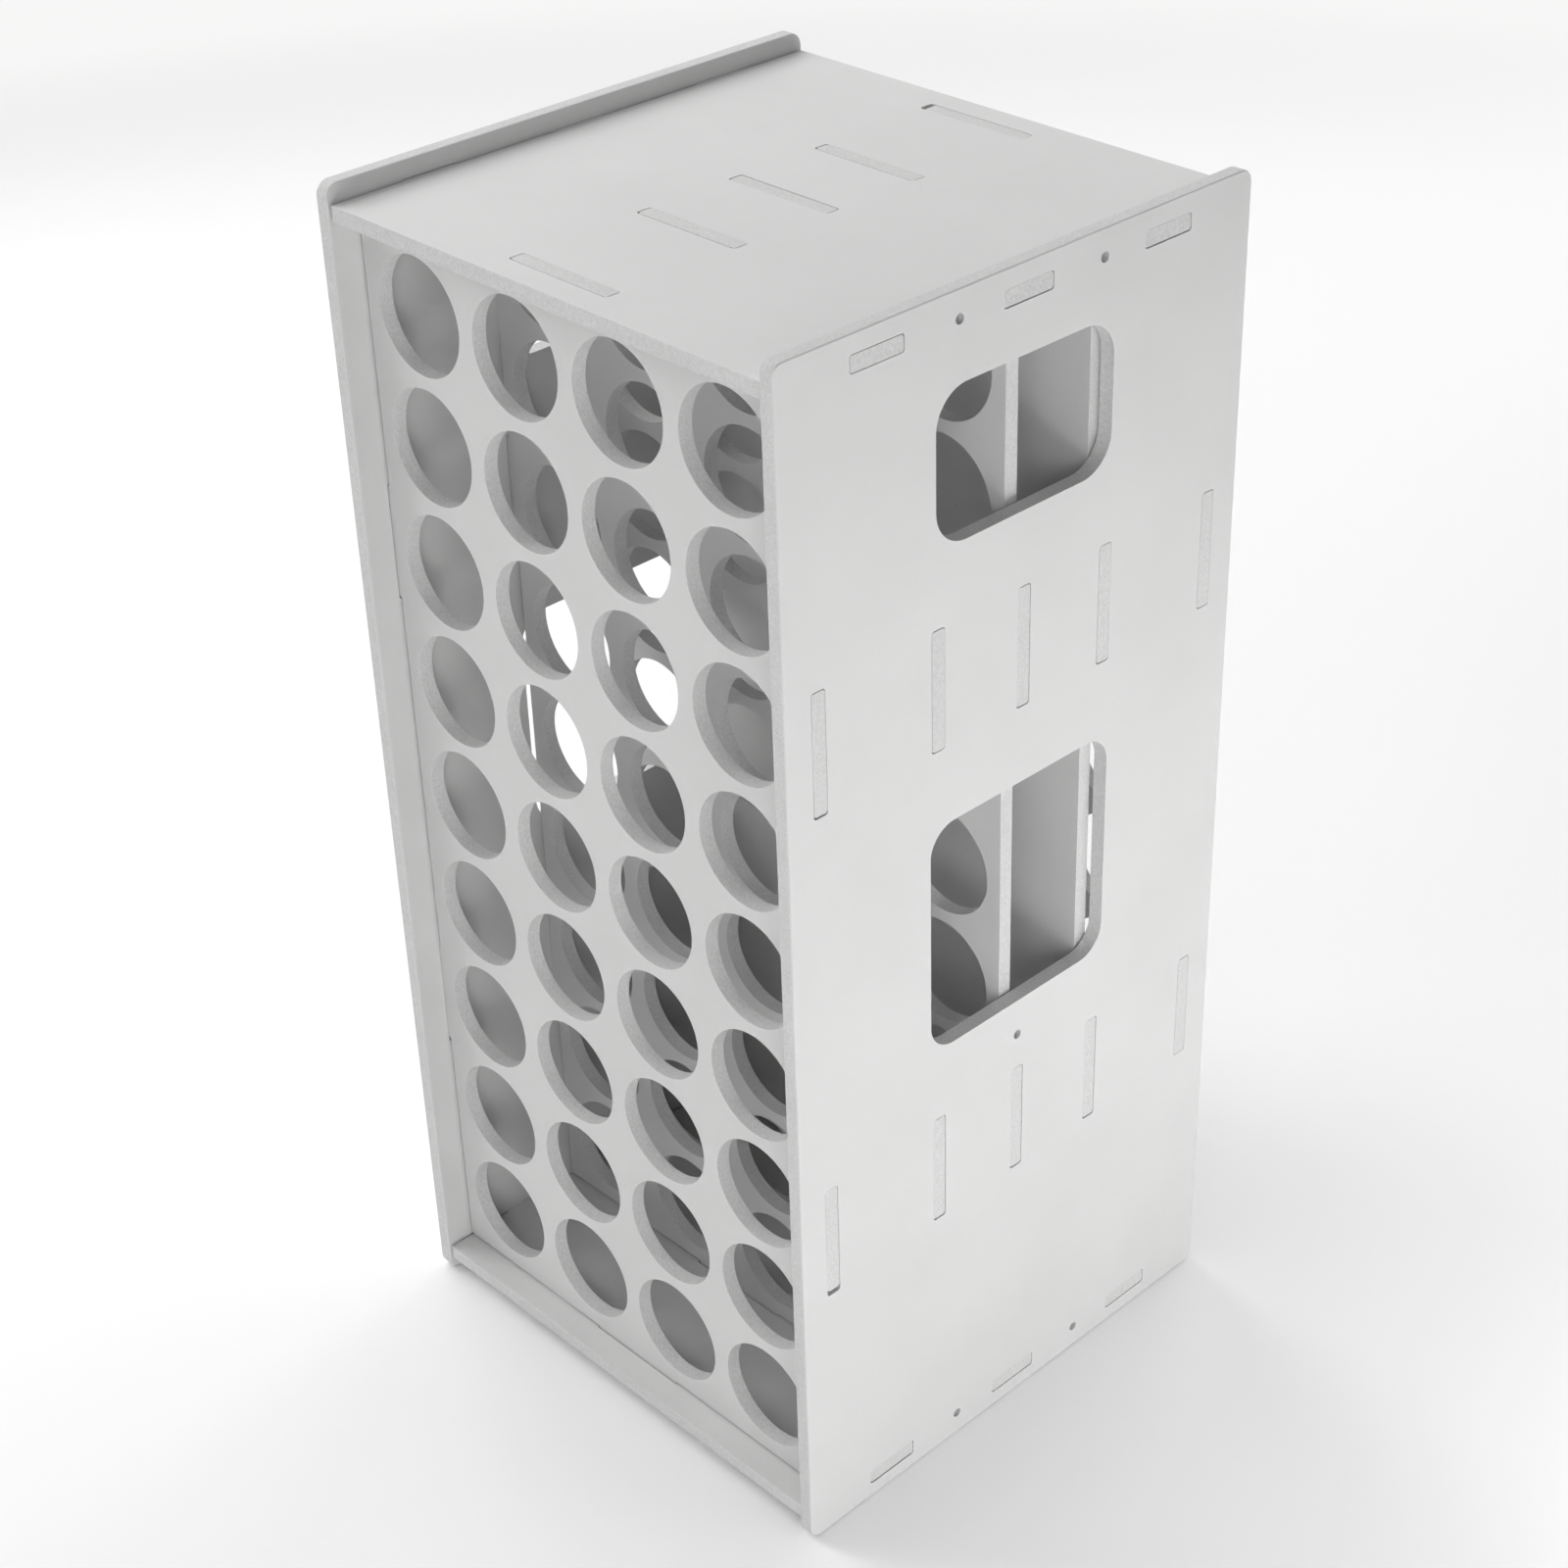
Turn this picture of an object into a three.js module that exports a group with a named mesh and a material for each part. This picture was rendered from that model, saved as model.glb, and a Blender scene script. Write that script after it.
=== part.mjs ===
// A flat-pack paint rack of tab-and-slot foam boards.
// Two side panels carry a top board, a bottom board and five upright boards.
// Four uprights are drilled with a grid of bottle holes; the fourth from the front is plain.
// Millimetres. X is the width, +Y points to the back, +Z is up.
// The origin is on the table, under the middle of the rack.

import * as THREE from 'three';

// ---- overall size ----
const RACK_WIDTH = 189;
const SIDE_HEIGHT = 405;
const SIDE_DEPTH = 188;
const SIDE_CORNER_RADIUS = 4.5;
const BOARD_THICKNESS = 5;

// ---- fits between the boards ----
const FACE_GAP = 0.25; // between a tab's face and its slot
const END_GAP = 0.7; // between a tab's end and the slot's rounded end
const SHOULDER_GAP = 0.4; // between a board's edge and the face it butts against
const TAB_SET_BACK = 0.3; // a tab ends this far below the outer face
const TAB_CORNER_RADIUS = 1.1;
const SLOT_CORNER_RADIUS = 1.2;

// ---- top and bottom boards ----
const DECK_DEPTH = 186.4;
const DECK_INSET = 6; // from the side panel's end to the deck's outer face
const DECK_SLOT_LENGTH = 20;
const DECK_TAB_SPACING = 57.5;

// ---- upright boards, front to back ----
const OUTER_UPRIGHT_Y = 81.4;
const INNER_UPRIGHT_Y = 35;
const UPRIGHT_Y = [-OUTER_UPRIGHT_Y, -INNER_UPRIGHT_Y, 0, INNER_UPRIGHT_Y, OUTER_UPRIGHT_Y];
const SIDE_SLOT_LENGTH = 39.6;
const SIDE_TAB_HALF_SPACING = 85.2; // from mid height to each side tab's centre
const END_SLOT_LENGTH = 40.5;

// ---- bottle holes ----
const HOLE_RADIUS = 18.6;
const HOLE_COLUMNS = 4;
const HOLE_ROWS = 9;
const HOLE_PITCH_X = 43.3;
const HOLE_PITCH_Z = 41.6;

// ---- windows and screw holes in the side panels ----
const UPPER_WINDOW = { depth: 71.8, height: 46.8, rise: 152.2, radius: 12 };
const LOWER_WINDOW = { depth: 77, height: 79.6, rise: 0, radius: 10 };
const SCREW_HOLE_RADIUS = 1.6;
const SCREW_HOLE_HALF_SPACING = 28.8;
const SCREW_HOLE_SHIFT = 2; // the pair of end holes sits this far behind the middle
const MIDDLE_SCREW_HOLE_DROP = 52.8; // below mid height

// ---- roundness of the faceted curves ----
const HOLE_SEGMENTS = 20;
const WINDOW_CORNER_SEGMENTS = 5;
const SMALL_CORNER_SEGMENTS = 2;
const SIDE_CORNER_SEGMENTS = 4;
const SCREW_HOLE_SEGMENTS = 8;

const MID_HEIGHT = SIDE_HEIGHT / 2;
const INNER_HALF_WIDTH = RACK_WIDTH / 2 - BOARD_THICKNESS;
const DECK_RISE = MID_HEIGHT - DECK_INSET - BOARD_THICKNESS / 2; // mid height to a deck's mid plane
const SLOT_WIDTH = BOARD_THICKNESS + 2 * FACE_GAP;
const tabLengthFor = (slotLength) => slotLength - 2 * END_GAP;
const TAB_REACH = SHOULDER_GAP + BOARD_THICKNESS - TAB_SET_BACK;

// ---- plane figures ----

// A rectangle with equal rounded corners, centred on a point, as a list of points.
function roundedRectangle(centreX, centreY, width, height, radius, segments) {
  const points = [];
  const corners = [
    [1, 1, 0],
    [-1, 1, 1],
    [-1, -1, 2],
    [1, -1, 3],
  ];
  for (const [signX, signY, quarter] of corners) {
    const cornerX = centreX + signX * (width / 2 - radius);
    const cornerY = centreY + signY * (height / 2 - radius);
    for (let step = 0; step <= segments; step += 1) {
      const angle = (quarter + step / segments) * (Math.PI / 2);
      const x = cornerX + radius * Math.cos(angle);
      const y = cornerY + radius * Math.sin(angle);
      points.push(new THREE.Vector2(x, y));
    }
  }
  return points;
}

function circle(centreX, centreY, radius, segments) {
  const points = [];
  for (let step = 0; step < segments; step += 1) {
    const angle = ((step + 0.5) / segments) * 2 * Math.PI;
    const x = centreX + radius * Math.cos(angle);
    const y = centreY + radius * Math.sin(angle);
    points.push(new THREE.Vector2(x, y));
  }
  return points;
}

// One edge of a board, walked from its start corner, with tabs standing out of it.
// Each tab is given by the distance of its centre from the edge's middle, along the walk.
function tabbedEdge(edgeStart, direction, edgeLength, tabCentres, tabLength) {
  const outward = new THREE.Vector2(direction.y, -direction.x);
  const points = [edgeStart.clone()];
  const place = (along, out) => {
    const point = edgeStart.clone();
    point.addScaledVector(direction, along);
    point.addScaledVector(outward, out);
    points.push(point);
  };
  for (const centre of tabCentres) {
    const near = edgeLength / 2 + centre - tabLength / 2;
    const far = near + tabLength;
    place(near, 0);
    place(near, TAB_REACH - TAB_CORNER_RADIUS);
    place(near + TAB_CORNER_RADIUS, TAB_REACH);
    place(far - TAB_CORNER_RADIUS, TAB_REACH);
    place(far, TAB_REACH - TAB_CORNER_RADIUS);
    place(far, 0);
  }
  return points;
}

// A rectangular board centred on the origin, with tabs on its sides and on its ends.
function tabbedBoard(width, height, sideTabs, sideTabLength, endTabs, endTabLength) {
  const right = width / 2;
  const top = height / 2;
  const corner = (x, y) => new THREE.Vector2(x, y);
  return [
    ...tabbedEdge(corner(-right, -top), corner(1, 0), width, endTabs, endTabLength),
    ...tabbedEdge(corner(right, -top), corner(0, 1), height, sideTabs, sideTabLength),
    ...tabbedEdge(corner(right, top), corner(-1, 0), width, endTabs, endTabLength),
    ...tabbedEdge(corner(-right, top), corner(0, -1), height, sideTabs, sideTabLength),
  ];
}

// A flat board of the stock thickness, with its mid plane on the local XY plane.
function cutBoard(outline, openings) {
  const shape = new THREE.Shape(outline);
  shape.holes = openings.map((points) => new THREE.Path(points));
  const geometry = new THREE.ExtrudeGeometry(shape, {
    depth: BOARD_THICKNESS,
    bevelEnabled: false,
  });
  geometry.translate(0, 0, -BOARD_THICKNESS / 2);
  return geometry;
}

// ---- material ----

function foamBoardMaterial(colour) {
  return new THREE.MeshStandardMaterial({ color: colour, roughness: 0.6, metalness: 0 });
}

// ---- the boards ----

function slot(centreX, centreY, width, height) {
  return roundedRectangle(
    centreX, centreY, width, height, SLOT_CORNER_RADIUS, SMALL_CORNER_SEGMENTS,
  );
}

function windowOpening(size) {
  return roundedRectangle(
    0, size.rise, size.depth, size.height, size.radius, WINDOW_CORNER_SEGMENTS,
  );
}

// Local X runs along the rack's depth and local Y up it, both from the panel's middle.
function sidePanelGeometry() {
  const outline = roundedRectangle(
    0, 0, SIDE_DEPTH, SIDE_HEIGHT, SIDE_CORNER_RADIUS, SIDE_CORNER_SEGMENTS,
  );
  const openings = [windowOpening(UPPER_WINDOW), windowOpening(LOWER_WINDOW)];
  for (const depth of UPRIGHT_Y) {
    openings.push(slot(depth, SIDE_TAB_HALF_SPACING, SLOT_WIDTH, SIDE_SLOT_LENGTH));
    openings.push(slot(depth, -SIDE_TAB_HALF_SPACING, SLOT_WIDTH, SIDE_SLOT_LENGTH));
  }
  for (const rise of [-DECK_RISE, DECK_RISE]) {
    for (const step of [-1, 0, 1]) {
      openings.push(slot(step * DECK_TAB_SPACING, rise, DECK_SLOT_LENGTH, SLOT_WIDTH));
    }
    for (const side of [-1, 1]) {
      const depth = SCREW_HOLE_SHIFT + side * SCREW_HOLE_HALF_SPACING;
      openings.push(circle(depth, rise, SCREW_HOLE_RADIUS, SCREW_HOLE_SEGMENTS));
    }
  }
  openings.push(circle(0, -MIDDLE_SCREW_HOLE_DROP, SCREW_HOLE_RADIUS, SCREW_HOLE_SEGMENTS));
  return cutBoard(outline, openings);
}

// Local X runs across the rack and local Y along its depth.
function deckGeometry() {
  const width = 2 * (INNER_HALF_WIDTH - SHOULDER_GAP);
  const sideTabs = [-DECK_TAB_SPACING, 0, DECK_TAB_SPACING];
  const tabLength = tabLengthFor(DECK_SLOT_LENGTH);
  const outline = tabbedBoard(width, DECK_DEPTH, sideTabs, tabLength, [], 0);
  const openings = UPRIGHT_Y.map((depth) => slot(0, depth, END_SLOT_LENGTH, SLOT_WIDTH));
  return cutBoard(outline, openings);
}

function bottleHoles() {
  const holes = [];
  for (let row = 0; row < HOLE_ROWS; row += 1) {
    for (let column = 0; column < HOLE_COLUMNS; column += 1) {
      const x = (column - (HOLE_COLUMNS - 1) / 2) * HOLE_PITCH_X;
      const y = (row - (HOLE_ROWS - 1) / 2) * HOLE_PITCH_Z;
      holes.push(circle(x, y, HOLE_RADIUS, HOLE_SEGMENTS));
    }
  }
  return holes;
}

// Local X runs across the rack and local Y up it.
function uprightGeometry(openings) {
  const width = 2 * (INNER_HALF_WIDTH - SHOULDER_GAP);
  const height = 2 * (DECK_RISE - BOARD_THICKNESS / 2 - SHOULDER_GAP);
  const sideTabs = [-SIDE_TAB_HALF_SPACING, SIDE_TAB_HALF_SPACING];
  const sideTabLength = tabLengthFor(SIDE_SLOT_LENGTH);
  const endTabLength = tabLengthFor(END_SLOT_LENGTH);
  const outline = tabbedBoard(width, height, sideTabs, sideTabLength, [0], endTabLength);
  return cutBoard(outline, openings);
}

function addBoard(group, name, geometry, colour) {
  const board = new THREE.Mesh(geometry, foamBoardMaterial(colour));
  board.name = name;
  group.add(board);
  return board;
}

// ---- assembly ----

const SIDE_COLOUR = 0xd6d6d5;
const DECK_COLOUR = 0xd8d8d7;
const UPRIGHT_COLOUR = 0xd2d2d1;

const rack = new THREE.Group();
rack.name = 'paint_rack';

const sides = new THREE.Group();
sides.name = 'sides';
rack.add(sides);
for (const [name, sign] of [['side_panel_left', -1], ['side_panel_right', 1]]) {
  const panel = addBoard(sides, name, sidePanelGeometry(), SIDE_COLOUR);
  panel.rotation.set(Math.PI / 2, Math.PI / 2, 0);
  panel.position.set((sign * (RACK_WIDTH - BOARD_THICKNESS)) / 2, 0, MID_HEIGHT);
}

const decks = new THREE.Group();
decks.name = 'decks';
rack.add(decks);
for (const [name, sign] of [['bottom_board', -1], ['top_board', 1]]) {
  const deck = addBoard(decks, name, deckGeometry(), DECK_COLOUR);
  deck.position.z = MID_HEIGHT + sign * DECK_RISE;
}

const uprights = new THREE.Group();
uprights.name = 'uprights';
rack.add(uprights);
const uprightBoards = [
  ['front_hole_board', bottleHoles()],
  ['second_hole_board', bottleHoles()],
  ['middle_hole_board', bottleHoles()],
  ['plain_stop_board', []],
  ['rear_hole_board', bottleHoles()],
];
uprightBoards.forEach(([name, openings], index) => {
  const board = addBoard(uprights, name, uprightGeometry(openings), UPRIGHT_COLOUR);
  board.rotation.x = Math.PI / 2;
  board.position.set(0, UPRIGHT_Y[index], MID_HEIGHT);
});

export default rack;
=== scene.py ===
# A flat-pack paint rack of foamed plastic boards, standing on a pale studio floor.
# Metres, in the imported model's frame: X is the width, +Y points to the back, +Z is up.
# Each board is drawn in millimetres in the plane of its faces, then set in its CAD node's place.
import math

import bpy
from mathutils import Matrix, Vector
from mathutils.geometry import delaunay_2d_cdt


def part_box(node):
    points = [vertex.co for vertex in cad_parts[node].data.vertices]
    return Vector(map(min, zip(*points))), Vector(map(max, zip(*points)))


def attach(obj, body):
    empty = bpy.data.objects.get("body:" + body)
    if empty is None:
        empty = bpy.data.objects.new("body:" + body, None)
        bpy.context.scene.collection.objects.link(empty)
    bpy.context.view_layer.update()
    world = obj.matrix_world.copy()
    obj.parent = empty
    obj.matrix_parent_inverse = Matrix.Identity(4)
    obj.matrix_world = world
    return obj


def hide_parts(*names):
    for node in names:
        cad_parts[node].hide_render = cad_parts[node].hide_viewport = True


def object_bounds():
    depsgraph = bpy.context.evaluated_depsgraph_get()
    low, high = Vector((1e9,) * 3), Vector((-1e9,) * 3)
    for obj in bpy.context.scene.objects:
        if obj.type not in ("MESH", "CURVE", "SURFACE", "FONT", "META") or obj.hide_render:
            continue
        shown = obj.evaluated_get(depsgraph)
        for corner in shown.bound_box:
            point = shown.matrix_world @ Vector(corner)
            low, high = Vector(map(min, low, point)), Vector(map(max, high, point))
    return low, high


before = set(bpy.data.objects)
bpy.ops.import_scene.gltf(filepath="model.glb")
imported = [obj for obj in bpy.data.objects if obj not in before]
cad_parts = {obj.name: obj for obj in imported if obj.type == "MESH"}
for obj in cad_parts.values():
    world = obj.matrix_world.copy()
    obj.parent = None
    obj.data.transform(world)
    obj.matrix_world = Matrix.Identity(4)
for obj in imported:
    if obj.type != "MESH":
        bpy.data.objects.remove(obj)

CAD_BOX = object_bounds()
MM = 0.001

# ---- the boards: upright ones from front to back, level ones from the bottom up ----
UPRIGHTS = (
    "front_hole_board",
    "second_hole_board",
    "middle_hole_board",
    "plain_stop_board",
    "rear_hole_board",
)
DECKS = ("bottom_board", "top_board")
SIDES = ("side_panel_left", "side_panel_right")
PLAIN_BOARD = "plain_stop_board"

# ---- sizes taken from the frame, in millimetres ----
THICKNESS = (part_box("top_board")[1].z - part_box("top_board")[0].z) / MM
INNER_WIDTH = (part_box("side_panel_right")[0].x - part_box("side_panel_left")[1].x) / MM
INNER_HEIGHT = (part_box("top_board")[0].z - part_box("bottom_board")[1].z) / MM

# ---- corners, in millimetres ----
SLOT_CORNER = 1.05
# A side panel's four: top rear, top front, bottom front, bottom rear.
SIDE_CORNERS = {
    "side_panel_left": (4.5, 4.5, 4.5, 4.5),
    "side_panel_right": (4.5, 3.2, 4.5, 4.5),
}

# ---- tabs, in millimetres from a board's middle ----
DECK_TAB_LENGTH = 19.4
DECK_TAB_SPACING = 57.5
SIDE_TAB_LENGTH = 38.8
SIDE_TAB_RISE = 85.2
END_TAB_LENGTH = 39.9
JOINT_GAP = 0.70  # between a board's edge and the face of the board that holds its tabs
TAB_RECESS = 0.06  # from a tab's end up to the outer face of the board that holds it
TAB_REACH = JOINT_GAP + THICKNESS - TAB_RECESS

# ---- gaps round each tab in its slot, in millimetres: left, right, below, above ----
# On a side panel left is the front of the rack. On a top or bottom board below is.
UPRIGHT_TAB_GAPS = {
    "high": (
        (0.22, 0.14, 0.70, 0.35),
        (0.32, 0.05, 0.24, 0.36),
        (0.06, 0.30, 0.40, 0.28),
        (0.32, 0.05, 0.34, 0.20),
        (0.26, 0.08, 0.22, 0.30),
    ),
    "low": (
        (0.12, 0.20, 1.80, 0.10),
        (0.08, 0.28, 0.60, 0.24),
        (0.06, 0.30, 0.60, 0.20),
        (0.12, 0.28, 0.60, 0.10),
        (0.26, 0.08, 0.14, 0.28),
    ),
}
DECK_TAB_GAPS = {
    "top_board": ((0.22, 0.32, 0.16, 0.22), (0.06, 0.38, 0.40, 0.05), (0.06, 0.38, 0.40, 0.05)),
    "bottom_board": ((0.06, 0.36, 0.75, 0.05), (0.06, 0.32, 0.50, 0.05), (0.06, 0.32, 0.45, 0.05)),
}
END_TAB_GAPS = (
    (0.30, 0.45, 0.34, 0.02),
    (0.32, 0.42, 0.44, 0.02),
    (0.40, 0.38, 0.02, 0.42),
    (0.36, 0.36, 0.44, 0.02),
    (1.90, 0.20, 0.02, 0.34),
)

# ---- openings, in millimetres ----
HOLE_RADIUS = 18.6
HOLE_PITCH = (43.3, 41.6)
HOLE_GRID = (4, 9)
WINDOWS = (
    dict(rise=152.2, width=71.8, height=46.8, corner=12.0),
    dict(rise=0.0, width=77.0, height=79.6, corner=10.0),
)
SCREW_RADIUS = 1.6
SCREW_PLACES = ((-26.8, -194.0), (30.8, -194.0), (-26.8, 194.0), (30.8, 194.0), (0.0, -52.8))

# ---- edges: softening radii, and how far in from an edge its band of painted highlight ends, in millimetres ----
CUT_ARRIS = 0.09
OUTER_ARRIS = 0.50
CRUSHED_ARRIS = 1.00  # the corners of a tab that was pushed into a rounded slot
CRUSHED_LENGTH = 0.60
EDGE_BAND = 1.4

# ---- how finely curves are cut ----
ARRIS_STEPS = 4
SLOT_STEPS = 5
SIDE_CORNER_STEPS = 10
WINDOW_STEPS = 14
HOLE_STEPS = 72
SCREW_STEPS = 20
SHARP_TURN = math.cos(math.radians(35))  # a bend past this keeps a hard line
WHOLE_HULL = 0  # delaunay_2d_cdt's way of filling everything inside the convex hull
SAME_POINT = 1e-6  # points nearer than this many millimetres are one

# ---- looks: shades are linear reflectance, depths are in metres ----
BOARD_SHADE = 0.62
BLUE_SHARE = 0.996  # blue over red or green, in the pale grey of the boards and the backdrop
FOAM_IOR = 1.46
# The first number in each look darkens the walls round a board's outline; at 1.0 it changes nothing.
FACE_LOOK = dict(outline_wall_tone=1.0, grain_scale=1500.0, grain_depth=0.00004, contrast=0.012, roughness=0.52)
CUT_LOOK = dict(outline_wall_tone=0.945, grain_scale=1150.0, grain_depth=0.00045, contrast=0.13, roughness=0.62)
# A painted highlight: the softened edges are drawn this much lighter than the rest of the face.
EDGE_HIGHLIGHT_TONE = 1.012
CLOUDS = dict(scale=22.0, detail=3.0, roughness=0.55)
CLOUD_SPAN = (0.3, 0.7)
CLOUD_TONES = (0.975, 1.02)
CLOUD_BUMP = {"Strength": 0.25, "Distance": 0.0006}
GRAIN_DETAIL = dict(detail=4.0, roughness=0.6)
GRAIN_SPAN = (0.25, 0.75)
GRAIN_STRENGTH = 0.6
ROUGHNESS_SPAN = (0.3, 0.7)
ROUGHNESS_SWING = 0.06
SPECK_SCALE = 210.0
SPECK_EDGE = (0.045, 0.075)
SPECK_RARITY = 0.86
SPECK_DARKNESS = 0.22
SEED_SHIFT = (0.37, 0.91, 0.53)
CUT_SEED_STEP = 3
DECK_SEED = 10
UPRIGHT_SEED = 20
FLOOR_SHADE = 0.93
FLOOR_CLOUDS = dict(scale=3.0, detail=2.0)
FLOOR_TONES = (0.985, 1.0)
FLOOR_ROUGHNESS = 0.9
FLOOR_SPECULAR = 0.1


# ---------------------------------------------------------------- plane figures

def circle_point(centre, radius, quarters):
    angle = quarters * math.pi / 2
    return Vector((centre[0] + radius * math.cos(angle), centre[1] + radius * math.sin(angle)))


def rounded_box(left, right, low, high, radii, steps):
    """A rounded rectangle, anticlockwise from its upper right, both ends of each corner's arc included."""
    points = []
    corners = ((right, high, -1, -1), (left, high, 1, -1), (left, low, 1, 1), (right, low, -1, 1))
    for quarter, ((x, y, to_x, to_y), radius) in enumerate(zip(corners, radii)):
        centre = (x + to_x * radius, y + to_y * radius)
        for step in range(steps + 1):
            points.append(circle_point(centre, radius, quarter + step / steps))
    return points


def ring(x, y, radius, steps):
    return [circle_point((x, y), radius, 4 * step / steps) for step in range(steps)]


def tabbed_edge(start, along, length, centres, tab):
    """One edge of a board walked anticlockwise, with tabs standing out of it, as (point, arris)."""
    out = Vector((along.y, -along.x))
    points = [(start.copy(), CUT_ARRIS)]

    def place(distance, rise, arris):
        points.append((start + along * distance + out * rise, arris))

    for centre in centres:
        near = length / 2 + centre - tab / 2
        far = near + tab
        place(near, 0, CUT_ARRIS)
        place(near, JOINT_GAP, CRUSHED_ARRIS)
        place(near, TAB_REACH, CRUSHED_ARRIS)
        place(near + CRUSHED_LENGTH, TAB_REACH, CUT_ARRIS)
        place(far - CRUSHED_LENGTH, TAB_REACH, CUT_ARRIS)
        place(far, TAB_REACH, CRUSHED_ARRIS)
        place(far, JOINT_GAP, CRUSHED_ARRIS)
        place(far, 0, CUT_ARRIS)
    return points


def tabbed_board(width, height, side_tabs, side_length, end_tabs, end_length):
    """An outline with the same tabs on its left and right, and the same ones on its two ends."""
    right, top = width / 2, height / 2
    return (
        tabbed_edge(Vector((-right, -top)), Vector((1, 0)), width, end_tabs, end_length)
        + tabbed_edge(Vector((right, -top)), Vector((0, 1)), height, side_tabs, side_length)
        + tabbed_edge(Vector((right, top)), Vector((-1, 0)), width, end_tabs, end_length)
        + tabbed_edge(Vector((-right, top)), Vector((0, -1)), height, side_tabs, side_length)
    )


def slot(x, y, width, height, gaps):
    """A slot round a tab of this size, with its gaps to the left, right, below and above."""
    left, right, below, above = gaps
    return rounded_box(
        x - width / 2 - left, x + width / 2 + right,
        y - height / 2 - below, y + height / 2 + above,
        (SLOT_CORNER,) * 4, SLOT_STEPS,
    )


def hole_grid():
    columns, rows = HOLE_GRID
    holes = []
    for row in range(rows):
        for column in range(columns):
            x = (column - (columns - 1) / 2) * HOLE_PITCH[0]
            y = (row - (rows - 1) / 2) * HOLE_PITCH[1]
            holes.append(ring(x, y, HOLE_RADIUS, HOLE_STEPS))
    return holes


# ---------------------------------------------------------------- board meshes

def loop_normals(points):
    """For each point of a loop: its mitre, and the outward normals of the two sides that meet there."""
    count = len(points)
    sides = []
    for i in range(count):
        run = (points[(i + 1) % count] - points[i]).normalized()
        sides.append(Vector((run.y, -run.x)))
    found = []
    for i in range(count):
        before, after = sides[i - 1], sides[i]
        mitre = (before + after) / (1 + before.dot(after))
        if before.dot(after) > SHARP_TURN:
            before = after = (before + after).normalized()
        found.append((mitre, before, after))
    return found


def profile(thickness, arris):
    """The board's edge in section, from its lower face to its upper one.
    Each step is (how far in, height, lean of the normal towards the face, painted edge highlight or not)."""
    half = thickness / 2
    lower = [(EDGE_BAND, -half, -1.0, 0.0)]
    for k in range(ARRIS_STEPS + 1):
        turn = k / ARRIS_STEPS * math.pi / 2
        inset = arris * (1 - math.sin(turn))
        height = -half + arris * (1 - math.cos(turn))
        lower.append((inset, height, -math.cos(turn), 1.0))
    upper = [(inset, -height, -lean, edge_highlight) for inset, height, lean, edge_highlight in reversed(lower)]
    return lower + upper


def tilted(side, lean):
    """A normal that leans from a board's side towards its face."""
    flat = math.sqrt(max(0.0, 1 - lean * lean))
    return Vector((side.x * flat, side.y * flat, lean))


def inside(point, points):
    """Whether a point lies inside a closed loop."""
    crossings = 0
    for a, b in zip(points, points[1:] + points[:1]):
        if (a.y > point.y) != (b.y > point.y):
            if point.x < a.x + (point.y - a.y) / (b.y - a.y) * (b.x - a.x):
                crossings += 1
    return crossings % 2 == 1


def fill(loops, coords):
    """Anticlockwise triangles over the outline, the first loop, less the convex openings, the others."""
    flat, owner, source, edges = [], [], [], []
    for number, loop in enumerate(loops):
        start = len(flat)
        flat += [coords[index].to_2d() for index in loop]
        owner += [number] * len(loop)
        source += loop
        edges += [(start + i, start + (i + 1) % len(loop)) for i in range(len(loop))]
    outline = flat[:len(loops[0])]
    _, _, found, originals, _, _ = delaunay_2d_cdt(flat, edges, [], WHOLE_HULL, SAME_POINT, True)
    triangles = []
    for triangle in found:
        a, b, c = (originals[corner][0] for corner in triangle)
        if owner[a] == owner[b] == owner[c]:
            if owner[a] or not inside((flat[a] + flat[b] + flat[c]) / 3, outline):
                continue
        turn = (flat[b] - flat[a]).cross(flat[c] - flat[a])
        if turn > 0:
            triangles.append((source[a], source[b], source[c]))
        else:
            triangles.append((source[a], source[c], source[b]))
    return triangles


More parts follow.
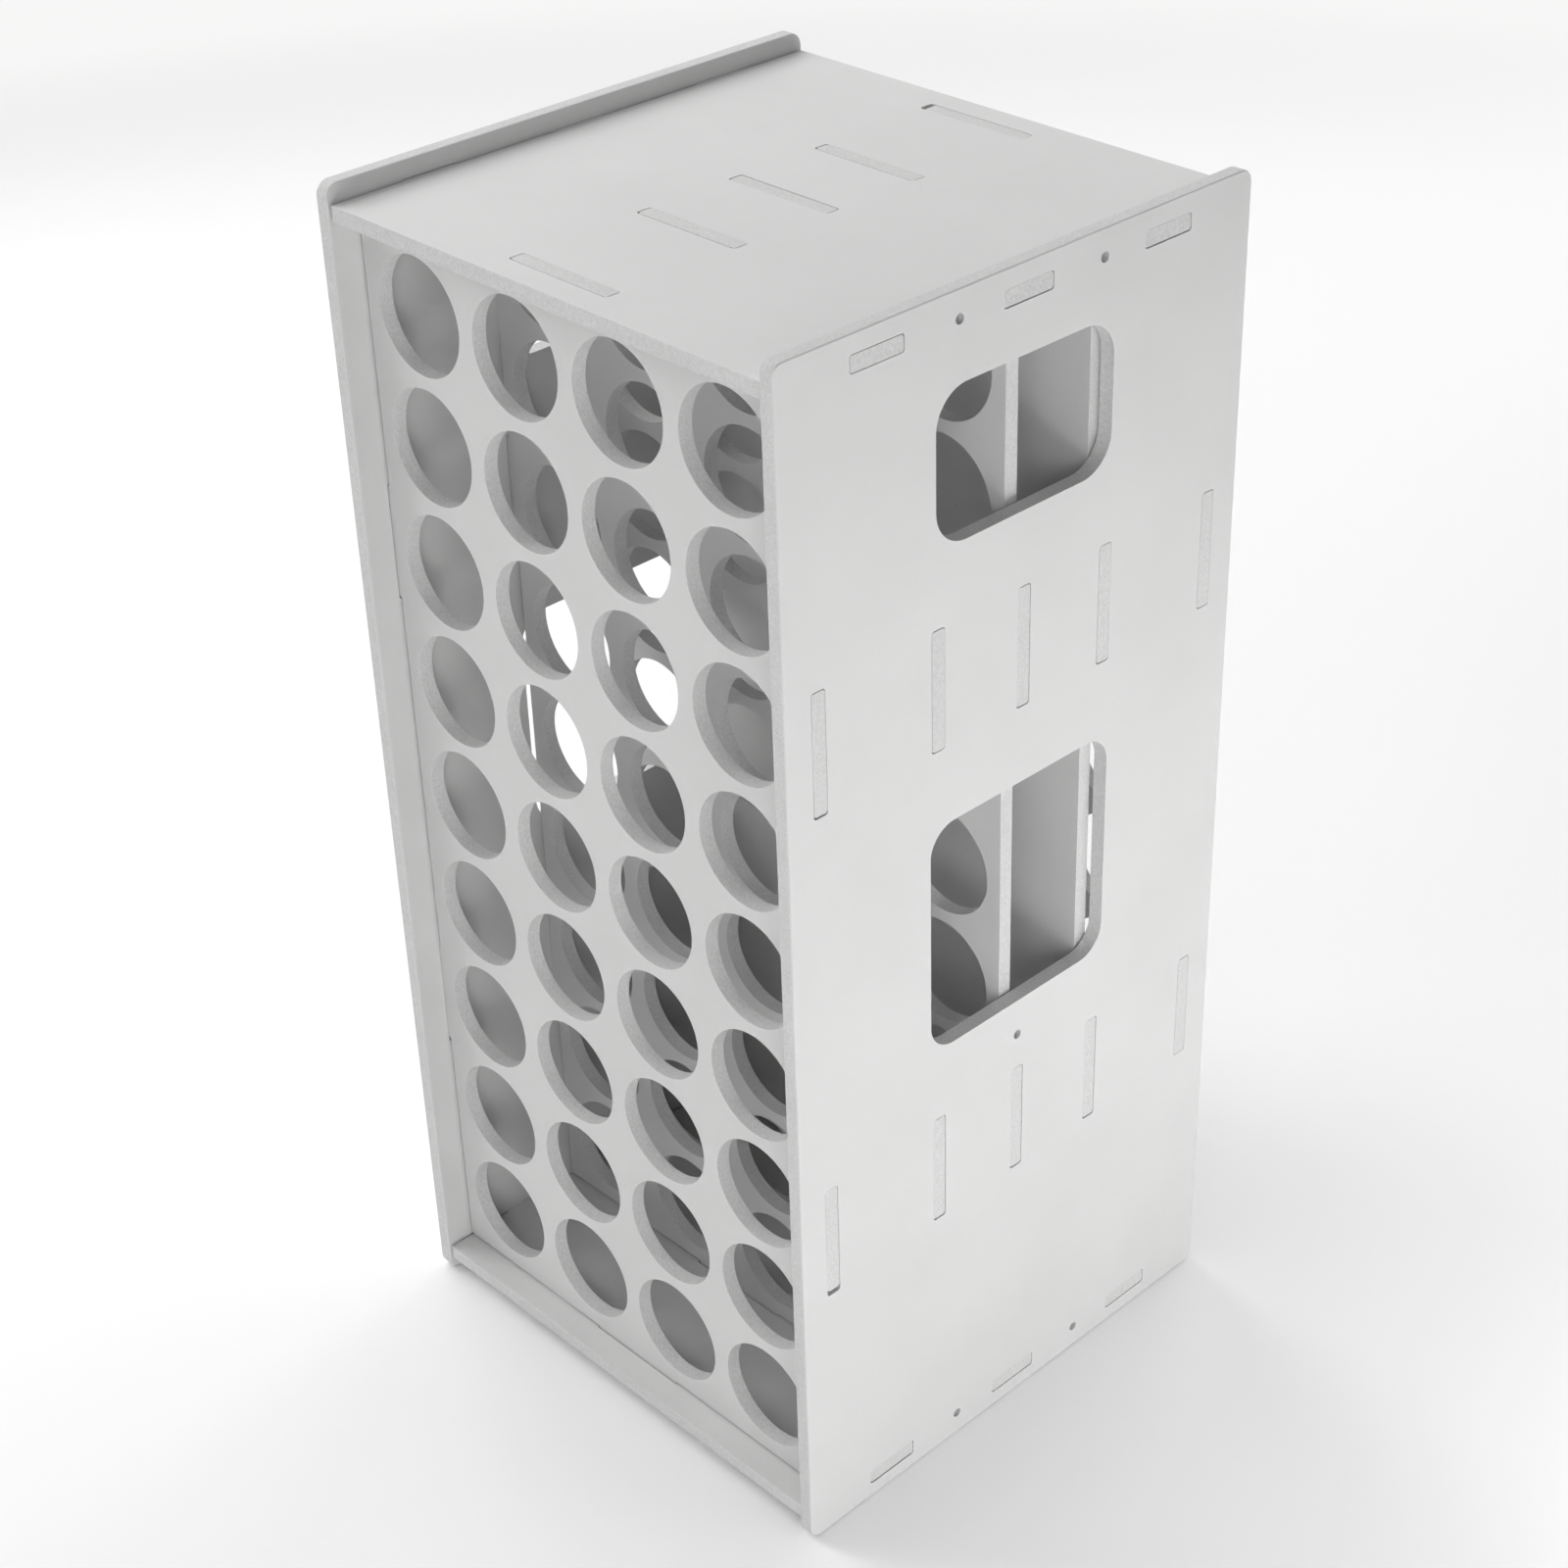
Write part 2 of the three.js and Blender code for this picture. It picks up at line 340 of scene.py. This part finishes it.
def make_board(node, outline, openings, thickness, to_world, seed):
    """A board as one closed mesh. The outline is (point, arris) pairs and the openings are points,
    all of them anticlockwise. The outline's walls are marked to be drawn a little darker than the walls of
    the openings."""
    loops = [outline] + [[(point, CUT_ARRIS) for point in reversed(opening)] for opening in openings]
    wall = ARRIS_STEPS + 1
    last = 2 * wall + 1
    coords, edge_highlight, outline_wall = [], [], []
    faces, normals, kinds = [], [], []
    rims = []

    for number, loop in enumerate(loops):
        start, count = len(coords), len(loop)
        rims.append([start + i * (last + 1) for i in range(count)])
        found = loop_normals([point for point, _ in loop])
        for (point, arris), (mitre, _, _) in zip(loop, found):
            steps = profile(thickness, arris)
            for inset, height, _, on_edge in steps:
                spot = point - mitre * inset
                coords.append(Vector((spot.x, spot.y, height)))
                # The painted edge highlight sits on the arris and the wall, and fades out across the
                # face's band.
                edge_highlight.append(on_edge)
                # 1 on the outline's arris and wall, 0 on the openings', so that the outline's walls are
                # drawn darker.
                outline_wall.append(on_edge if number == 0 else 0.0)
        leans = [step[2] for step in steps]
        for i in range(count):
            after = (i + 1) % count
            here, there = rims[-1][i], rims[-1][after]
            side_here, side_there = found[i][2], found[after][1]
            for j in range(last):
                faces.append((here + j, there + j, there + j + 1, here + j + 1))
                normals.append(tilted(side_here, leans[j]))
                normals.append(tilted(side_there, leans[j]))
                normals.append(tilted(side_there, leans[j + 1]))
                normals.append(tilted(side_here, leans[j + 1]))
                kinds.append(1 if j == wall else 0)

    triangles = fill(rims, coords)
    for level, lean in ((0, -1.0), (last, 1.0)):
        for corners in triangles:
            a, b, c = (corner + level for corner in corners)
            faces.append((a, b, c) if lean > 0 else (a, c, b))
            normals += [Vector((0.0, 0.0, lean))] * 3
            kinds.append(0)

    name = "foam_" + node
    mesh = bpy.data.meshes.new(name)
    mesh.from_pydata([to_world @ (co * MM) for co in coords], [], faces)
    for material in foam_pair(node, seed):
        mesh.materials.append(material)
    mesh.polygons.foreach_set("material_index", kinds)
    mesh.polygons.foreach_set("use_smooth", [True] * len(faces))
    # Point marks for the painted highlight along the softened edges, and for the walls round the outline.
    for key, values in (("edge_highlight", edge_highlight), ("outline_wall", outline_wall)):
        mesh.attributes.new(key, "FLOAT", "POINT").data.foreach_set("value", values)
    turned = to_world.to_3x3()
    mesh.normals_split_custom_set([(turned @ n).normalized() for n in normals])
    return show(name, mesh)


def show(name, data):
    """A new object in the scene."""
    made = bpy.data.objects.new(name, data)
    bpy.context.scene.collection.objects.link(made)
    return made


# ---------------------------------------------------------------- materials

def add_node(tree, kind, inputs=(), **settings):
    """A shader node. Each input is a number or colour, or a socket to link from."""
    made = tree.nodes.new(kind)
    for key, value in settings.items():
        setattr(made, key, value)
    for key, value in dict(inputs).items():
        if isinstance(value, bpy.types.NodeSocket):
            tree.links.new(value, made.inputs[key])
        else:
            made.inputs[key].default_value = value
    return made


def new_tree(name):
    material = bpy.data.materials.new(name)
    material.use_nodes = True
    return material, material.node_tree


def object_place(tree):
    return add_node(tree, "ShaderNodeTexCoord").outputs["Object"]


def noise(tree, place, scale, detail, roughness=0.5):
    values = {"Vector": place, "Scale": scale, "Detail": detail, "Roughness": roughness}
    return add_node(tree, "ShaderNodeTexNoise", values).outputs[0]


def remap(tree, value, source, target):
    """A value moved from one (low, high) range to another."""
    values = {
        "Value": value,
        "From Min": source[0],
        "From Max": source[1],
        "To Min": target[0],
        "To Max": target[1],
    }
    return add_node(tree, "ShaderNodeMapRange", values).outputs[0]


def math_node(tree, operation, *values):
    return add_node(tree, "ShaderNodeMath", dict(enumerate(values)), operation=operation).outputs[0]


def marked(tree, attribute, tone):
    """The tone where a mesh attribute is 1, fading to 1.0 where it is 0."""
    mark = add_node(tree, "ShaderNodeAttribute", attribute_name=attribute)
    return remap(tree, mark.outputs["Fac"], (0.0, 1.0), (1.0, tone))


def scaled_colour(tree, colour, tone):
    values = {0: colour, "Scale": tone}
    return add_node(tree, "ShaderNodeVectorMath", values, operation="SCALE").outputs[0]


def specks(tree, place):
    """A few tiny specks: 1 in a speck, 0 elsewhere."""
    cells = add_node(tree, "ShaderNodeTexVoronoi", {"Vector": place, "Scale": SPECK_SCALE})
    spot = remap(tree, cells.outputs["Distance"], SPECK_EDGE, (1.0, 0.0))
    chance = add_node(tree, "ShaderNodeSeparateColor", {0: cells.outputs["Color"]}).outputs[0]
    chosen = math_node(tree, "GREATER_THAN", chance, SPECK_RARITY)
    return math_node(tree, "MULTIPLY", spot, chosen)


def foam_material(name, seed, outline_wall_tone, grain_scale, grain_depth, contrast, roughness):
    """Foamed plastic: a pale body, faint clouds, a fine grain and a few tiny specks."""
    material, tree = new_tree(name)
    shader = tree.nodes["Principled BSDF"]
    shift = [seed * step for step in SEED_SHIFT]
    moved = add_node(tree, "ShaderNodeVectorMath", {0: object_place(tree), 1: shift}, operation="ADD")
    place = moved.outputs[0]
    clouds = noise(tree, place, **CLOUDS)
    grain = noise(tree, place, scale=grain_scale, **GRAIN_DETAIL)

    tones = (
        remap(tree, grain, GRAIN_SPAN, (1 - contrast, 1 + contrast)),
        # painted highlight along the softened edges
        marked(tree, "edge_highlight", EDGE_HIGHLIGHT_TONE),
        # the walls round the outline drawn a little darker
        marked(tree, "outline_wall", outline_wall_tone),
        math_node(tree, "MULTIPLY_ADD", specks(tree, place), -SPECK_DARKNESS, 1.0),
    )
    tone = remap(tree, clouds, CLOUD_SPAN, CLOUD_TONES)
    for factor in tones:
        tone = math_node(tree, "MULTIPLY", tone, factor)
    body = (BOARD_SHADE, BOARD_SHADE, BOARD_SHADE * BLUE_SHARE)
    tree.links.new(scaled_colour(tree, body, tone), shader.inputs["Base Color"])

    swing = (roughness - ROUGHNESS_SWING, roughness + ROUGHNESS_SWING)
    tree.links.new(remap(tree, grain, ROUGHNESS_SPAN, swing), shader.inputs["Roughness"])
    waves = add_node(tree, "ShaderNodeBump", {"Height": clouds, **CLOUD_BUMP}).outputs[0]
    pits = {"Height": grain, "Strength": GRAIN_STRENGTH, "Distance": grain_depth, "Normal": waves}
    tree.links.new(add_node(tree, "ShaderNodeBump", pits).outputs[0], shader.inputs["Normal"])
    shader.inputs["IOR"].default_value = FOAM_IOR
    return material


def foam_pair(node, seed):
    """A board's two materials: its smooth faces, and the grainy walls of its cuts."""
    return (
        foam_material(node + "_face", seed, **FACE_LOOK),
        foam_material(node + "_cut", seed + CUT_SEED_STEP, **CUT_LOOK),
    )


def floor_material():
    material, tree = new_tree("studio_floor")
    shader = tree.nodes["Principled BSDF"]
    clouds = noise(tree, object_place(tree), **FLOOR_CLOUDS)
    tone = remap(tree, clouds, (0.0, 1.0), FLOOR_TONES)
    tree.links.new(scaled_colour(tree, (FLOOR_SHADE,) * 3, tone), shader.inputs["Base Color"])
    shader.inputs["Roughness"].default_value = FLOOR_ROUGHNESS
    shader.inputs["Specular IOR Level"].default_value = FLOOR_SPECULAR
    return material


def backdrop_material():
    """A pale glow that fades in from the floor."""
    material, tree = new_tree("studio_backdrop")
    tree.nodes.remove(tree.nodes["Principled BSDF"])
    height = add_node(tree, "ShaderNodeSeparateXYZ", {0: object_place(tree)}).outputs[2]
    cover = add_node(
        tree, "ShaderNodeMapRange", {"Value": height, "From Max": BACKDROP_FADE},
        interpolation_type="SMOOTHSTEP",
    )
    clear = add_node(tree, "ShaderNodeBsdfTransparent")
    shade = (BACKDROP_SHADE, BACKDROP_SHADE, BACKDROP_SHADE * BLUE_SHARE, 1.0)
    glow = add_node(tree, "ShaderNodeEmission", {"Color": shade})
    parts = {0: cover.outputs[0], 1: clear.outputs[0], 2: glow.outputs[0]}
    mixed = add_node(tree, "ShaderNodeMixShader", parts)
    tree.links.new(mixed.outputs[0], tree.nodes["Material Output"].inputs["Surface"])
    return material


# ---------------------------------------------------------------- the rack

def middle(node):
    """The middle of a CAD node's box, in metres."""
    low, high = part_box(node)
    return (low + high) / 2


def extent(node):
    """A CAD node's width, depth and height, in millimetres."""
    low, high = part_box(node)
    return [(end - start) / MM for start, end in zip(low, high)]


def axes(origin, u, v, w):
    """A board's own axes in the rack: u and v along its faces, w through it."""
    turn = Matrix((u, v, w)).transposed().to_4x4()
    return Matrix.Translation(origin) @ turn


def side_board(node, seed):
    centre = middle(node)
    thickness, depth, height = extent(node)
    corners = rounded_box(
        -depth / 2, depth / 2, -height / 2, height / 2, SIDE_CORNERS[node], SIDE_CORNER_STEPS,
    )
    outline = [(point, OUTER_ARRIS) for point in corners]
    openings = []
    for window in WINDOWS:
        w, h, rise = window["width"] / 2, window["height"] / 2, window["rise"]
        openings.append(rounded_box(-w, w, rise - h, rise + h, (window["corner"],) * 4, WINDOW_STEPS))
    for index, upright in enumerate(UPRIGHTS):
        y = (middle(upright).y - centre.y) / MM
        for level, rise in (("low", -SIDE_TAB_RISE), ("high", SIDE_TAB_RISE)):
            gaps = UPRIGHT_TAB_GAPS[level][index]
            openings.append(slot(y, rise, THICKNESS, SIDE_TAB_LENGTH, gaps))
    for deck in DECKS:
        rise = (middle(deck).z - centre.z) / MM
        for index, gaps in enumerate(DECK_TAB_GAPS[deck]):
            openings.append(slot((index - 1) * DECK_TAB_SPACING, rise, DECK_TAB_LENGTH, THICKNESS, gaps))
    for y, rise in SCREW_PLACES:
        openings.append(ring(y, rise, SCREW_RADIUS, SCREW_STEPS))
    place = axes(centre, (0, 1, 0), (0, 0, 1), (1, 0, 0))
    return make_board(node, outline, openings, thickness, place, seed)


def deck_board(node, seed):
    centre = middle(node)
    _, depth, thickness = extent(node)
    tabs = (-DECK_TAB_SPACING, 0, DECK_TAB_SPACING)
    outline = tabbed_board(INNER_WIDTH - 2 * JOINT_GAP, depth, tabs, DECK_TAB_LENGTH, (), 0)
    openings = []
    for upright, gaps in zip(UPRIGHTS, END_TAB_GAPS):
        y = (middle(upright).y - centre.y) / MM
        openings.append(slot(0, y, END_TAB_LENGTH, THICKNESS, gaps))
    place = axes(centre, (1, 0, 0), (0, 1, 0), (0, 0, 1))
    return make_board(node, outline, openings, thickness, place, seed)


def upright_board(node, seed):
    centre = middle(node)
    _, thickness, _ = extent(node)
    width, height = INNER_WIDTH - 2 * JOINT_GAP, INNER_HEIGHT - 2 * JOINT_GAP
    side_tabs = (-SIDE_TAB_RISE, SIDE_TAB_RISE)
    outline = tabbed_board(width, height, side_tabs, SIDE_TAB_LENGTH, (0,), END_TAB_LENGTH)
    openings = [] if node == PLAIN_BOARD else hole_grid()
    place = axes(centre, (1, 0, 0), (0, 0, 1), (0, -1, 0))
    return make_board(node, outline, openings, thickness, place, seed)


def build_rack():
    for maker, nodes, first_seed in (
        (side_board, SIDES, 0),
        (deck_board, DECKS, DECK_SEED),
        (upright_board, UPRIGHTS, UPRIGHT_SEED),
    ):
        for index, node in enumerate(nodes):
            settle(maker(node, first_seed + index), node)


def settle(piece, node):
    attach(piece, "root")
    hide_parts(node)


# ---------------------------------------------------------------- studio

# The camera, in metres and degrees, with its azimuth from the front round to the right. Its sensor
# and lens are in millimetres, and its shift is in frame widths.
CAMERA = dict(
    aim=(0.0093, 0.0096, 0.2079),
    distance=0.9319,
    azimuth=45.89,
    elevation=31.72,
    roll=-1.26,
    sensor=36.0,
    lens=67.0,
    shift=(-0.0372, -0.0132),
    clip=(0.01, 50.0),
)

# Soft boxes round the rack: azimuth in degrees; reach, height, aimed-at height and size in metres; watts.
SOFT_BOXES = {
    "front_high": (0, 1.09, 1.40, 0.20, (1.2, 1.2), 2.2),
    "front_left_high": (315, 1.09, 1.40, 0.20, (1.2, 1.2), 5.1),
    "left_front": (300, 1.30, 0.90, 0.20, (0.7, 0.5), 5.2),
    "left_high": (270, 1.09, 1.40, 0.20, (1.2, 1.2), 14.5),
    "rear_left": (225, 1.50, 0.90, 0.20, (1.0, 0.7), 3.0),
    "rear_high": (200, 1.60, 1.20, 0.20, (1.0, 0.7), 3.0),
    "rear_overhead": (180, 1.09, 1.40, 0.20, (1.2, 1.2), 5.0),
    "rear_low": (180, 1.68, 0.49, 0.20, (1.2, 1.2), 6.0),
    "right_front": (60, 1.60, 0.90, 0.20, (1.0, 0.7), 2.6),
    "front_right_near": (45, 1.30, 0.55, 0.15, (0.7, 0.5), 4.0),
    "right_front_strip": (60, 0.80, 0.11, 0.05, (0.6, 0.12), 1.50),
    "right_rear_near": (110, 0.50, 0.15, 0.05, (0.25, 0.25), 0.70),
}
FILL = 0.02  # the strength of the even light from all round

# The floor, in metres: half its side, how far it lies under the rack, and its squares along a side.
FLOOR_REACH = 4.0
FLOOR_DROP = 0.0002
FLOOR_SQUARES = 40

# The backdrop, in metres: where its cove starts, the cove's radius, the wall's top, the fade's height.
COVE_START = 1.05
COVE_RADIUS = 2.4
WALL_HEIGHT = 4.0
BACKDROP_FADE = 0.03
BACKDROP_SHADE = 0.93
COVE_SIDES = 96
COVE_STEPS = 24


def bearing(azimuth):
    """A level unit vector: 0 degrees points to the front, 90 to the right."""
    turn = math.radians(azimuth)
    return Vector((math.sin(turn), -math.cos(turn), 0))


def make_camera():
    data = bpy.data.cameras.new("camera")
    data.sensor_width = CAMERA["sensor"]
    data.lens = CAMERA["lens"]
    data.shift_x, data.shift_y = CAMERA["shift"]
    data.clip_start, data.clip_end = CAMERA["clip"]
    camera = show("camera", data)
    rise = math.radians(CAMERA["elevation"])
    back = bearing(CAMERA["azimuth"]) * math.cos(rise) + Vector((0, 0, math.sin(rise)))
    roll = Matrix.Rotation(math.radians(CAMERA["roll"]), 3, "Z")
    turn = (-back).to_track_quat("-Z", "Y").to_matrix() @ roll
    place = Vector(CAMERA["aim"]) + back * CAMERA["distance"]
    camera.matrix_world = Matrix.Translation(place) @ turn.to_4x4()
    bpy.context.scene.camera = camera


def soft_box(name, azimuth, reach, height, aim, size, power):
    data = bpy.data.lights.new(name, "AREA")
    data.shape = "RECTANGLE"
    data.size, data.size_y = size
    data.energy = power
    lamp = show(name, data)
    lamp.location = bearing(azimuth) * reach + Vector((0, 0, height))
    lamp.rotation_euler = (Vector((0, 0, aim)) - lamp.location).to_track_quat("-Z", "Y").to_euler()
    lamp.visible_camera = False


def plain_mesh(name, coords, faces, material):
    mesh = bpy.data.meshes.new(name)
    mesh.from_pydata(coords, [], faces)
    mesh.materials.append(material)
    return show(name, mesh)


def make_floor():
    level = CAD_BOX[0].z - FLOOR_DROP
    places = [(i / FLOOR_SQUARES * 2 - 1) * FLOOR_REACH for i in range(FLOOR_SQUARES + 1)]
    coords = [(x, y, level) for y in places for x in places]
    row = FLOOR_SQUARES + 1
    faces = []
    for j in range(FLOOR_SQUARES):
        for i in range(FLOOR_SQUARES):
            corner = j * row + i
            faces.append((corner, corner + 1, corner + row + 1, corner + row))
    floor = plain_mesh("floor", coords, faces, floor_material())


def make_backdrop():
    """A round cove that rises from the floor. Only the camera sees it, so it takes and gives no light."""
    section = []
    for k in range(COVE_STEPS + 1):
        turn = k / COVE_STEPS * math.pi / 2
        section.append((COVE_START + COVE_RADIUS * math.sin(turn), COVE_RADIUS * (1 - math.cos(turn))))
    section.append((COVE_START + COVE_RADIUS, WALL_HEIGHT))
    coords, faces = [], []
    for reach, height in section:
        for i in range(COVE_SIDES):
            turn = i / COVE_SIDES * math.tau
            coords.append((reach * math.cos(turn), reach * math.sin(turn), height + CAD_BOX[0].z))
    for j in range(len(section) - 1):
        low, high = j * COVE_SIDES, (j + 1) * COVE_SIDES
        for i in range(COVE_SIDES):
            after = (i + 1) % COVE_SIDES
            faces.append((low + i, high + i, high + after, low + after))
    backdrop = plain_mesh("backdrop", coords, faces, backdrop_material())
    backdrop.visible_diffuse = False
    backdrop.visible_glossy = False
    backdrop.visible_transmission = False
    backdrop.visible_shadow = False


def make_light():
    world = bpy.data.worlds.new("studio")
    world.use_nodes = True
    background = world.node_tree.nodes["Background"]
    background.inputs["Color"].default_value = (1, 1, 1, 1)
    background.inputs["Strength"].default_value = FILL
    bpy.context.scene.world = world
    for name, settings in SOFT_BOXES.items():
        soft_box(name, *settings)


make_camera()
make_floor()
make_backdrop()
make_light()
build_rack()

bpy.context.scene.view_settings.view_transform = "Standard"
